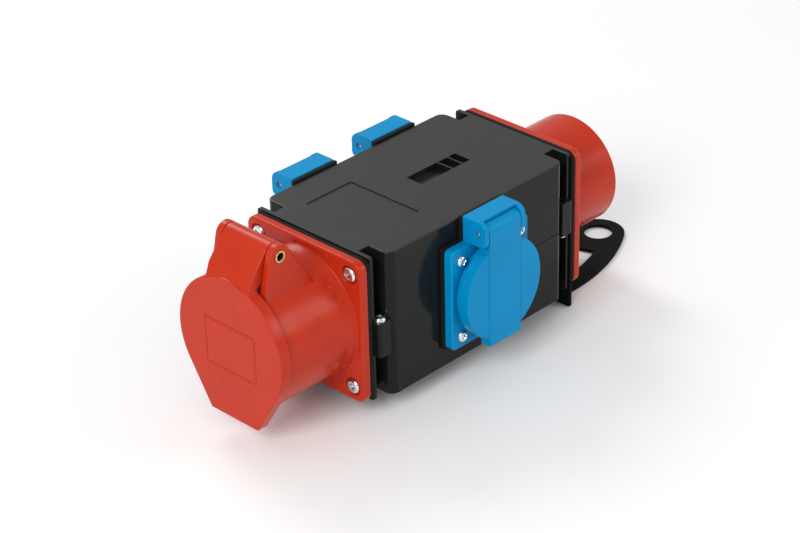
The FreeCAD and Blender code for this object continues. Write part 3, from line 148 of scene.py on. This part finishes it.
# --- settings -----------------------------------------------------------------------
class BoxFinishes(bpy.types.PropertyGroup):
    """Colours of the moulded and plated parts."""

    red: FloatVectorProperty(
        name="Red", description="Moulding colour of the outlet and the inlet",
        subtype="COLOR", size=3, min=0, max=1, default=(0.46, 0.026, 0.006))
    blue: FloatVectorProperty(
        name="Blue", description="Moulding colour of the flange sockets",
        subtype="COLOR", size=3, min=0, max=1, default=(0.0, 0.235, 0.50))
    black: FloatVectorProperty(
        name="Black", description="Moulding colour of the box shells",
        subtype="COLOR", size=3, min=0, max=1, default=(0.0085, 0.0085, 0.0075))
    steel: FloatVectorProperty(
        name="Steel", description="Colour of the bright plated screws",
        subtype="COLOR", size=3, min=0, max=1, default=(0.80, 0.81, 0.82))
    brass: FloatVectorProperty(
        name="Brass", description="Colour of the hinge tube and the contacts",
        subtype="COLOR", size=3, min=0, max=1, default=(0.72, 0.50, 0.20))


class BoxSizes(bpy.types.PropertyGroup):
    """Sizes of the small shapes that the looks add to the CAD parts."""

    shell_edge: FloatProperty(
        name="Shell edge", description="Rounding of the shells' hard edges",
        unit="LENGTH", default=0.12 * MM)
    red_edge: FloatProperty(
        name="Red edge", description="Rounding of the red parts' hard edges",
        unit="LENGTH", default=0.5 * MM)
    blue_edge: FloatProperty(
        name="Blue edge", description="Rounding of the blue parts' hard edges",
        unit="LENGTH", default=0.35 * MM)
    thin_edge: FloatProperty(
        name="Thin edge", description="Rounding of sheet metal and rubber edges",
        unit="LENGTH", default=0.2 * MM)
    fine_edge: FloatProperty(
        name="Fine edge", description="Rounding of seals, clips and hinge pins",
        unit="LENGTH", default=0.1 * MM)
    tip_edge: FloatProperty(
        name="Tip edge", description="Rounding of the inlet pins' tips",
        unit="LENGTH", default=0.6 * MM)
    end_screw_head: FloatProperty(
        name="End screw head", description="Radius of the heads at both ends",
        unit="LENGTH", default=3.6 * MM)
    end_screw_height: FloatProperty(
        name="End screw height", description="Height of the heads at both ends",
        unit="LENGTH", default=2.2 * MM)
    socket_screw_head: FloatProperty(
        name="Socket screw head", description="Radius of the flange sockets' screw heads",
        unit="LENGTH", default=2.75 * MM)
    socket_screw_height: FloatProperty(
        name="Socket screw height", description="Height of the flange sockets' screw heads",
        unit="LENGTH", default=1.7 * MM)
    shell_screw_head: FloatProperty(
        name="Shell screw head", description="Radius of the shell screws' heads",
        unit="LENGTH", default=2.8 * MM)
    shell_screw_height: FloatProperty(
        name="Shell screw height", description="Height of the shell screws' heads",
        unit="LENGTH", default=1.9 * MM)
    mark_radius: FloatProperty(
        name="Mark radius", description="Radius of the collar's ejector marks",
        unit="LENGTH", default=0.9 * MM)
    mark_height: FloatProperty(
        name="Mark height", description="Height of the collar's ejector marks",
        unit="LENGTH", default=0.14 * MM)
    frame_depth: FloatProperty(
        name="Frame depth", description="Depth of the plain frame in the red lid's face",
        unit="LENGTH", default=0.12 * MM)
    edge_steps: IntProperty(
        name="Edge steps", description="Segments of each rounded edge", default=3)


class BoxStage(bpy.types.PropertyGroup):
    """Camera and light of the stage."""

    aim: FloatVectorProperty(
        name="Aim", description="Point that the camera looks at",
        subtype="TRANSLATION", unit="LENGTH", size=3,
        default=(-11.165 * MM, 0.6 * MM, 31.37 * MM))
    azimuth: FloatProperty(
        name="Azimuth", description="Turn of the camera about the upright axis",
        subtype="ANGLE", default=math.radians(-45.354))
    elevation: FloatProperty(
        name="Elevation", description="Height of the camera above the horizon",
        subtype="ANGLE", default=math.radians(29.893))
    roll: FloatProperty(
        name="Roll", description="Turn of the camera about its own axis",
        subtype="ANGLE", default=math.radians(-1.456))
    distance: FloatProperty(
        name="Distance", description="From the camera to its aim",
        unit="LENGTH", default=1140.5 * MM)
    lens: FloatProperty(
        name="Lens", description="Focal length in millimetres, on a 36 mm sensor",
        default=113.5)
    sky: FloatProperty(
        name="Sky", description="Strength of the even light", default=0.62)


# --- materials ----------------------------------------------------------------------
def new_material(name, colour, roughness, metallic=0.0):
    """Start a material with one Principled shader, and return it with its tree's parts."""
    material = bpy.data.materials.new(name + "_finish")
    material.use_nodes = True
    tree = material.node_tree
    shader = tree.nodes["Principled BSDF"]
    shader.inputs["Base Color"].default_value = (*colour, 1)
    shader.inputs["Roughness"].default_value = roughness
    shader.inputs["Metallic"].default_value = metallic
    material.diffuse_color = (*colour, 1)
    return material, tree, shader


def noise(tree, scale, detail, stretch=(1, 1, 1)):
    """Add a noise pattern on object coordinates; scale counts its cells in a metre."""
    place = tree.nodes.new("ShaderNodeTexCoord")
    mapping = tree.nodes.new("ShaderNodeMapping")
    mapping.inputs["Scale"].default_value = stretch
    pattern = tree.nodes.new("ShaderNodeTexNoise")
    pattern.inputs["Scale"].default_value = scale
    pattern.inputs["Detail"].default_value = detail
    tree.links.new(place.outputs["Object"], mapping.inputs["Vector"])
    tree.links.new(mapping.outputs["Vector"], pattern.inputs["Vector"])
    return pattern


def spread(tree, pattern, low, high):
    """Map a pattern's middle range to a range of values."""
    mapped = tree.nodes.new("ShaderNodeMapRange")
    mapped.inputs["From Min"].default_value = PATTERN_LOW
    mapped.inputs["From Max"].default_value = PATTERN_HIGH
    mapped.inputs["To Min"].default_value = low
    mapped.inputs["To Max"].default_value = high
    tree.links.new(pattern.outputs["Fac"], mapped.inputs["Value"])
    return mapped.outputs["Result"]


def tint(tree, shader, pattern, colour, change):
    """Let a pattern vary a colour's brightness by a share either way."""
    ramp = tree.nodes.new("ShaderNodeValToRGB")
    dark, light = ramp.color_ramp.elements
    dark.position, light.position = PATTERN_LOW, PATTERN_HIGH
    dark.color = (*[max(0.0, part * (1 - change)) for part in colour], 1)
    light.color = (*[min(1.0, part * (1 + change)) for part in colour], 1)
    tree.links.new(pattern.outputs["Fac"], ramp.inputs["Fac"])
    tree.links.new(ramp.outputs["Color"], shader.inputs["Base Color"])


def grain(tree, shader, pattern, depth):
    """Let a pattern raise the surface by a depth in metres."""
    bump = tree.nodes.new("ShaderNodeBump")
    bump.inputs["Strength"].default_value = 1.0
    bump.inputs["Distance"].default_value = depth
    tree.links.new(pattern.outputs["Fac"], bump.inputs["Height"])
    tree.links.new(bump.outputs["Normal"], shader.inputs["Normal"])


def plastic(name, colour, roughness, grain_depth, grain_scale=2600, change=0.06,
            swing=0.04, level=0.5):
    """Make a moulded plastic with cloudy colour, uneven gloss and a fine grain."""
    _, tree, shader = new_material(name, colour, roughness)
    shader.inputs["Specular IOR Level"].default_value = level
    shader.inputs["IOR"].default_value = 1.5
    tint(tree, shader, noise(tree, 42, 3), colour, change)
    gloss = spread(tree, noise(tree, 95, 4), roughness - swing, roughness + swing)
    tree.links.new(gloss, shader.inputs["Roughness"])
    grain(tree, shader, noise(tree, grain_scale, 2), grain_depth)


def metal(name, colour, roughness, brush=(1, 1, 1), grain_depth=2e-6):
    """Make a plated or drawn metal with fine uneven polish."""
    _, tree, shader = new_material(name, colour, roughness, metallic=1.0)
    tint(tree, shader, noise(tree, 160, 3), colour, 0.05)
    polish = spread(tree, noise(tree, 900, 3, brush), roughness * 0.7, roughness * 1.5)
    tree.links.new(polish, shader.inputs["Roughness"])
    grain(tree, shader, noise(tree, 1500, 3, brush), grain_depth)


def make_materials(finish):
    """Make every material once, named after its slot."""
    red, blue, black = (tuple(value) for value in (finish.red, finish.blue, finish.black))
    plastic("black_shell", black, 0.12, 6e-7, 900, 0.1, 0.03, level=0.15)
    plastic("black_satin", black, 0.36, 1.0e-5, 2400, 0.12, 0.04, level=0.45)
    plastic("red_plastic", red, 0.28, 4e-6, level=0.2)
    plastic("red_insert", tuple(0.7 * part for part in red), 0.45, 8e-6, level=0.16)
    plastic("blue_plastic", blue, 0.36, 6e-6, level=0.1)
    plastic("blue_insert", tuple(0.6 * part for part in blue), 0.45, 8e-6, level=0.1)
    plastic("black_rubber", (0.010, 0.010, 0.010), 0.62, 2.5e-5, 1900, 0.12, 0.06, level=0.1)
    plastic("coated_steel", (0.006, 0.006, 0.0055), 0.55, 3e-5, 1500, 0.15, 0.08, level=0.05)
    metal("plated_steel", tuple(finish.steel), 0.14)
    metal("plated_brass", (0.70, 0.66, 0.56), 0.22)
    metal("brass_tube", tuple(finish.brass), 0.24, (1, 14, 1))
    metal("spring_steel", (0.48, 0.48, 0.50), 0.3)
    for slot, colour in COVERINGS.items():
        plastic(slot, colour, 0.4, 4e-6, 1200, 0.05, 0.05)


def material(slot):
    """Return the material of a slot."""
    return bpy.data.materials[slot + "_finish"]


# --- mesh helpers -------------------------------------------------------------------
def finish_piece(name, mesh, body, materials, replaced=()):
    """Link a finished mesh as a piece that rides on a body."""
    piece = bpy.data.objects.new(name, mesh)
    bpy.context.scene.collection.objects.link(piece)
    mesh.materials.clear()
    for item in materials:
        mesh.materials.append(item)
    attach(piece, body)
    if replaced:
        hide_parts(*replaced)
    return piece


def body_of(node):
    """Name the body that a CAD node rides on."""
    for body, members in frame["record"]["behaviour"]["bodies"].items():
        if node in members:
            return body
    raise ValueError(f"no body holds {node}")


def merged_copy(node):
    """Copy a CAD node's mesh, joined into clean faces, ready for bevels."""
    shape = bmesh.new()
    shape.from_mesh(NODES[node].data)
    bmesh.ops.remove_doubles(shape, verts=shape.verts, dist=MERGE_DISTANCE)
    bmesh.ops.dissolve_limit(shape, angle_limit=FLAT_ANGLE, verts=shape.verts,
                             edges=shape.edges, use_dissolve_boundaries=False)
    return shape


def hard_edges(shape, angle=32):
    """List the edges whose faces meet at more than an angle in degrees."""
    limit = math.radians(angle)
    return [edge for edge in shape.edges
            if len(edge.link_faces) == 2 and edge.calc_face_angle() > limit]


def soften(shape, width, steps):
    """Round every hard edge of a closed shape, and settle stray corners back on it."""
    surface = BVHTree.FromBMesh(shape)
    spans = [[vertex.co[axis] for vertex in shape.verts] for axis in range(3)]
    low, high = [min(span) for span in spans], [max(span) for span in spans]
    bmesh.ops.bevel(shape, geom=hard_edges(shape), offset=width, offset_type="OFFSET",
                    segments=steps, profile=0.5, affect="EDGES", clamp_overlap=False,
                    material=-1, loop_slide=True)
    for vertex in shape.verts:
        nearest, _, _, distance = surface.find_nearest(vertex.co)
        if distance > STRAY_SHARE * width:
            vertex.co = nearest
        vertex.co = [min(max(part, low[axis]), high[axis])
                     for axis, part in enumerate(vertex.co)]


def to_mesh(name, shape, smooth_angle=40):
    """Turn a bmesh into a smoothly shaded mesh."""
    mesh = bpy.data.meshes.new(name)
    shape.to_mesh(mesh)
    shape.free()
    for face in mesh.polygons:
        face.use_smooth = True
    mesh.set_sharp_from_angle(angle=math.radians(smooth_angle))
    return mesh


def slot_of(node):
    """Name the material slot of a CAD node."""
    return NODES[node].material_slots[0].name.split(".")[0].removesuffix("_finish")


def softened(name, node, width, steps, shape=None):
    """Replace a CAD node with a copy whose hard edges are rounded."""
    shape = shape or merged_copy(node)
    soften(shape, width, steps)
    slot = slot_of(node)
    piece = finish_piece(name, to_mesh(name, shape), body_of(node),
                         [material(slot)], (node,))
    weigh = piece.modifiers.new("even_normals", "WEIGHTED_NORMAL")
    weigh.keep_sharp = True
    return piece


def loose_object(name, shape):
    """Link a helper object made from a bmesh; the caller removes it."""
    mesh = bpy.data.meshes.new(name)
    shape.to_mesh(mesh)
    shape.free()
    item = bpy.data.objects.new(name, mesh)
    bpy.context.scene.collection.objects.link(item)
    return item


def pour(one, shape):
    """Add one finished bmesh to another, and free it."""
    mesh = bpy.data.meshes.new("poured")
    one.to_mesh(mesh)
    one.free()
    shape.from_mesh(mesh)
    bpy.data.meshes.remove(mesh)


def remove_helper(item):
    """Remove a helper object and its mesh."""
    mesh = item.data
    bpy.data.objects.remove(item)
    bpy.data.meshes.remove(mesh)


def pan_head(radius, height):
    """Make a pan head along Z, seated on Z = 0."""
    shape = bmesh.new()
    bmesh.ops.create_cone(shape, cap_ends=True, segments=HEAD_SEGMENTS,
                          radius1=radius, radius2=radius, depth=height,
                          matrix=Matrix.Translation((0, 0, height / 2)))
    rim = [edge for edge in shape.edges
           if all(abs(vertex.co.z - height) < LEVEL_GAP for vertex in edge.verts)]
    bmesh.ops.bevel(shape, geom=rim, offset=height * HEAD_ROUND_SHARE,
                    segments=HEAD_ROUND_STEPS, profile=0.5, affect="EDGES", material=-1)
    return shape


def cross_cutter(radius, height):
    """Make the tapered cross that sinks into a pan head's top."""
    floor = height * RECESS_FLOOR_SHARE
    top = height * RECESS_TOP_SHARE
    shape = bmesh.new()
    for turn in (0, math.pi / 2):
        bar = bmesh.ops.create_cube(shape, size=1)["verts"]
        for vertex in bar:
            low = vertex.co.z < 0
            narrow = RECESS_TAPER if low else 1
            vertex.co = Vector((
                math.copysign(radius * RECESS_REACH_SHARE * narrow, vertex.co.x),
                math.copysign(radius * RECESS_HALF_SHARE * narrow, vertex.co.y),
                floor if low else top))
        bmesh.ops.rotate(shape, verts=bar, matrix=Matrix.Rotation(turn, 3, "Z"))
    return shape


def screw_head(name, radius, height):
    """Cut a cross recess into a pan head, and return its mesh."""
    head = loose_object(name, pan_head(radius, height))
    cutter = loose_object(name + "_cross", cross_cutter(radius, height))
    cut = head.modifiers.new("recess", "BOOLEAN")
    cut.operation = "DIFFERENCE"
    cut.solver = "EXACT"
    cut.use_self = True
    cut.object = cutter
    depsgraph = bpy.context.evaluated_depsgraph_get()
    depsgraph.update()
    mesh = bpy.data.meshes.new_from_object(head.evaluated_get(depsgraph))
    remove_helper(head)
    remove_helper(cutter)
    return mesh


def screws(node, radius, height, shank, way):
    """Replace a node of four screws whose heads look along a direction."""
    low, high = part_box(node)
    middle = (low + high) / 2
    axis = max(range(3), key=lambda index: abs(way[index]))
    first, second = (index for index in range(3) if index != axis)
    points = [vertex.co for vertex in NODES[node].data.vertices]
    turn = Vector((0, 0, 1)).rotation_difference(Vector(way)).to_matrix().to_4x4()
    head = screw_head(node + "_head", radius, height)
    shape = bmesh.new()
    for count, (across, along) in enumerate(((-1, -1), (1, -1), (1, 1), (-1, 1))):
        levels = [point[axis] * way[axis] for point in points
                  if (point[first] - middle[first]) * across > 0
                  and (point[second] - middle[second]) * along > 0]
        grip = max(levels) - min(levels) - height
        place = middle.copy()
        place[axis] = way[axis] * (max(levels) - height)
        place[first] += across * (high[first] - middle[first] - radius)
        place[second] += along * (high[second] - middle[second] - radius)
        one = bmesh.new()
        one.from_mesh(head)
        bmesh.ops.create_cone(one, cap_ends=True, segments=SHANK_SEGMENTS,
                              radius1=shank, radius2=shank, depth=grip,
                              matrix=Matrix.Translation((0, 0, -grip / 2)))
        bmesh.ops.transform(one, verts=one.verts, matrix=Matrix.Translation(place) @ turn
                            @ Matrix.Rotation(SCREW_TURNS[count], 4, "Z"))
        pour(one, shape)
    bpy.data.meshes.remove(head)
    return finish_piece(node + "_set", to_mesh(node + "_set", shape, 28), body_of(node),
                        [material("plated_steel")], (node,))


# --- operators ----------------------------------------------------------------------
class DISTBOX_OT_finishes(bpy.types.Operator):
    """Give every CAD node its material"""

    bl_idname = "distbox.finishes"
    bl_label = "Finishes"

    def execute(self, context):
        make_materials(context.scene.box_finishes)
        for item in NODES.values():
            for place in item.material_slots:
                place.material = material(place.material.name.split(".")[0])
        return {"FINISHED"}


class DISTBOX_OT_shells(bpy.types.Operator):
    """Round the shells' edges, give their tops a satin grain and drive their screws"""

    bl_idname = "distbox.shells"
    bl_label = "Shells"

    def execute(self, context):
        sizes = context.scene.box_sizes
        for node in ("upper_shell", "lower_shell"):
            piece = softened(node + "_moulding", node, sizes.shell_edge, sizes.edge_steps)
            piece.data.materials.append(material("black_satin"))
            for face in piece.data.polygons:
                if abs(face.normal.z) > TOP_SHARE:
                    face.material_index = 1
        screws("shell_screws", sizes.shell_screw_head, sizes.shell_screw_height,
               SHELL_SHANK, (0, 0, 1))
        return {"FINISHED"}


class DISTBOX_OT_outlet(bpy.types.Operator):
    """Build the lidded outlet: housing, lid, contacts, hinge tube, seal and screws"""

    bl_idname = "distbox.outlet"
    bl_label = "Outlet"

    def execute(self, context):
        sizes = context.scene.box_sizes
        for node, width in (("outlet_housing", sizes.red_edge),
                            ("outlet_contact_carrier", sizes.thin_edge),
                            ("outlet_contact_sleeves", sizes.fine_edge),
                            ("outlet_gasket", sizes.thin_edge),
                            ("outlet_lid_seal", sizes.fine_edge),
                            ("outlet_lid_pin", sizes.fine_edge)):
            softened(node + "_soft", node, width, sizes.edge_steps)
        softened("outlet_lid_soft", "outlet_lid", sizes.red_edge, sizes.edge_steps,
                 self.framed_lid(sizes.frame_depth))
        screws("outlet_screws", sizes.end_screw_head, sizes.end_screw_height,
               END_SHANK, (-1, 0, 0))
        self.mould_marks(sizes.mark_radius, sizes.mark_height)
        return {"FINISHED"}

    def mould_marks(self, radius, height):
        """Raise the small round ejector marks on the collar."""
        low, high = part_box("outlet_lid_seal")
        axis_height = (low.z + high.z) / 2
        marks = bmesh.new()
        for along, angle in COLLAR_MARKS:
            one = bmesh.new()
            bmesh.ops.create_cone(one, cap_ends=True, segments=MARK_SEGMENTS,
                                  radius1=radius, radius2=MARK_TOP_SHARE * radius,
                                  depth=2 * height)
            top = max(one.faces, key=lambda face: face.calc_center_median().z)
            bmesh.ops.inset_region(one, faces=[top], thickness=MARK_RIM_SHARE * radius,
                                   depth=-MARK_DISH_SHARE * height)
            place = (Matrix.Translation((along, 0, axis_height))
                     @ Matrix.Rotation(math.pi / 2 - math.radians(angle), 4, "X")
                     @ Matrix.Translation((0, 0, COLLAR_RADIUS)))
            bmesh.ops.transform(one, verts=one.verts, matrix=place)
            pour(one, marks)
        finish_piece("outlet_mould_marks", to_mesh("outlet_mould_marks", marks),
                     body_of("outlet_housing"), [material("red_plastic")])

    def framed_lid(self, depth):
        """Sink a plain rectangular frame into the lid's face."""
        shape = merged_copy("outlet_lid")
        face = max((face for face in shape.faces if face.normal.x < -FACING_SHARE),
                   key=lambda face: face.calc_area())
        level = face.calc_center_median().x
        pieces = [face]
        for axis, cuts in FRAME_CUTS.items():
            way = Vector((0, axis == "y", axis == "z"))
            for cut in cuts:
                edges = {edge for item in pieces for edge in item.edges}
                corners = {vertex for item in pieces for vertex in item.verts}
                bmesh.ops.bisect_plane(shape, geom=[*pieces, *edges, *corners], dist=1e-7,
                                       plane_co=way * cut, plane_no=way)
                pieces = [item for item in shape.faces
                          if abs(item.normal.x) > FACING_SHARE
                          and abs(item.calc_center_median().x - level) < LEVEL_GAP]
        ring = [item for item in pieces if self.in_frame(item.calc_center_median())]
        sunk = bmesh.ops.extrude_face_region(shape, geom=ring)
        bmesh.ops.delete(shape, geom=ring, context="FACES")
        floor = [item for item in sunk["geom"] if isinstance(item, bmesh.types.BMVert)]
        bmesh.ops.translate(shape, verts=floor, vec=(depth, 0, 0))
        return shape

    def in_frame(self, centre):
        """Tell whether a cut face lies in the frame's band."""
        y_cuts, z_cuts = FRAME_CUTS["y"], FRAME_CUTS["z"]
        within = (y_cuts[0] < centre.y < y_cuts[-1]) and (z_cuts[0] < centre.z < z_cuts[-1])
        inner = (y_cuts[1] < centre.y < y_cuts[2]) and (z_cuts[1] < centre.z < z_cuts[2])
        return within and not inner


class DISTBOX_OT_inlet(bpy.types.Operator):
    """Build the shrouded inlet: housing, pins, gasket and screws, and the hanger"""

    bl_idname = "distbox.inlet"
    bl_label = "Inlet and hanger"

    def execute(self, context):
        sizes = context.scene.box_sizes
        for node, width in (("inlet_housing", sizes.red_edge),
                            ("inlet_pin_carrier", sizes.thin_edge),
                            ("inlet_pins", sizes.tip_edge),
                            ("inlet_gasket", sizes.thin_edge),
                            ("hanger_bracket", sizes.thin_edge)):
            softened(node + "_soft", node, width, sizes.edge_steps)
        screws("inlet_screws", sizes.end_screw_head, sizes.end_screw_height,
               END_SHANK, (1, 0, 0))
        return {"FINISHED"}


class DISTBOX_OT_sockets(bpy.types.Operator):
    """Build the three flange sockets: mouldings, insert, contacts, lid parts and screws"""

    bl_idname = "distbox.sockets"
    bl_label = "Flange sockets"

    def execute(self, context):
        sizes = context.scene.box_sizes
        for name in SOCKETS:
            for part, width in (("_housing", sizes.blue_edge), ("_lid", sizes.blue_edge),
                                ("_insert", sizes.thin_edge),
                                ("_contact_sleeves", sizes.fine_edge),
                                ("_earth_clip", sizes.fine_edge),
                                ("_gasket", sizes.thin_edge),
                                ("_lid_seal", sizes.fine_edge),
                                ("_lid_pin", sizes.fine_edge)):
                softened(name + part + "_soft", name + part, width, sizes.edge_steps)
            way = (0, -1 if name == "front_socket" else 1, 0)
            screws(name + "_screws", sizes.socket_screw_head, sizes.socket_screw_height,
                   SOCKET_SHANK, way)
        return {"FINISHED"}


class DISTBOX_OT_stage(bpy.types.Operator):
    """Set up the floor, the lights and the camera"""

    bl_idname = "distbox.stage"
    bl_label = "Stage"

    def execute(self, context):
        stage = context.scene.box_stage
        self.make_floor()
        self.make_sky(context.scene, stage.sky)
        self.make_lights()
        self.make_camera(context.scene, stage)
        context.scene.view_settings.view_transform = "Standard"
        return {"FINISHED"}

    def make_floor(self):
        """Lay a plain pale floor under the lowest point of the object."""
        shape = bmesh.new()
        bmesh.ops.create_grid(shape, x_segments=1, y_segments=1, size=FLOOR_HALF)
        bmesh.ops.translate(shape, verts=shape.verts,
                            vec=(0, 0, CAD_BOX[0].z - FLOOR_GAP))
        mesh = bpy.data.meshes.new("floor")
        shape.to_mesh(mesh)
        shape.free()
        floor = bpy.data.objects.new("floor", mesh)
        bpy.context.scene.collection.objects.link(floor)
        surface, _, _ = new_material("floor_paper", (0.86, 0.86, 0.86), 0.8)
        mesh.materials.append(surface)

    def make_sky(self, scene, strength):
        """Fill the world with an even pale light."""
        world = bpy.data.worlds.new("sky")
        world.use_nodes = True
        background = world.node_tree.nodes["Background"]
        background.inputs["Color"].default_value = (1, 1, 1, 1)
        background.inputs["Strength"].default_value = strength
        scene.world = world

    def make_lights(self):
        """Hang the soft lamps, turned towards the box."""
        for name, (place, size, power) in LAMPS.items():
            data = bpy.data.lights.new(name, "AREA")
            data.shape = "DISK"
            data.size = size
            data.energy = power
            lamp = bpy.data.objects.new(name, data)
            lamp.location = place
            look = LAMP_AIM - Vector(place)
            lamp.rotation_euler = look.to_track_quat("-Z", "Y").to_euler()
            bpy.context.scene.collection.objects.link(lamp)

    def make_camera(self, scene, stage):
        """Place the camera by its turn, height and distance about its aim."""
        back = Vector((math.sin(stage.azimuth) * math.cos(stage.elevation),
                       -math.cos(stage.azimuth) * math.cos(stage.elevation),
                       math.sin(stage.elevation)))
        data = bpy.data.cameras.new("camera")
        data.lens = stage.lens
        data.sensor_width = FILM_WIDTH
        camera = bpy.data.objects.new("camera", data)
        camera.matrix_world = (
            Matrix.Translation(Vector(stage.aim) + back * stage.distance)
            @ back.to_track_quat("Z", "Y").to_matrix().to_4x4()
            @ Matrix.Rotation(stage.roll, 4, "Z"))
        scene.collection.objects.link(camera)
        scene.camera = camera


class DISTBOX_PT_panel(bpy.types.Panel):
    """List the operators that build the box"""

    bl_idname = "DISTBOX_PT_panel"
    bl_label = "Distribution Box"
    bl_space_type = "VIEW_3D"
    bl_region_type = "UI"
    bl_category = "Box"

    def draw(self, context):
        for operator in OPERATORS:
            self.layout.operator(operator.bl_idname)
        for group in (context.scene.box_finishes, context.scene.box_sizes,
                      context.scene.box_stage):
            for name in group.bl_rna.properties.keys():
                if name not in ("rna_type", "name"):
                    self.layout.prop(group, name)


OPERATORS = (DISTBOX_OT_finishes, DISTBOX_OT_shells, DISTBOX_OT_outlet, DISTBOX_OT_inlet,
             DISTBOX_OT_sockets, DISTBOX_OT_stage)
CLASSES = (BoxFinishes, BoxSizes, BoxStage, *OPERATORS, DISTBOX_PT_panel)


def register():
    """Register the classes and their settings."""
    for item in CLASSES:
        bpy.utils.register_class(item)
    bpy.types.Scene.box_finishes = PointerProperty(type=BoxFinishes)
    bpy.types.Scene.box_sizes = PointerProperty(type=BoxSizes)
    bpy.types.Scene.box_stage = PointerProperty(type=BoxStage)


def unregister():
    """Remove the classes and their settings."""
    del bpy.types.Scene.box_finishes
    del bpy.types.Scene.box_sizes
    del bpy.types.Scene.box_stage
    for item in reversed(CLASSES):
        bpy.utils.unregister_class(item)


def main():
    """Build every piece in order."""
    register()
    for operator in OPERATORS:
        group, name = operator.bl_idname.split(".")
        getattr(getattr(bpy.ops, group), name)()


if __name__ == "__main__":
    main()
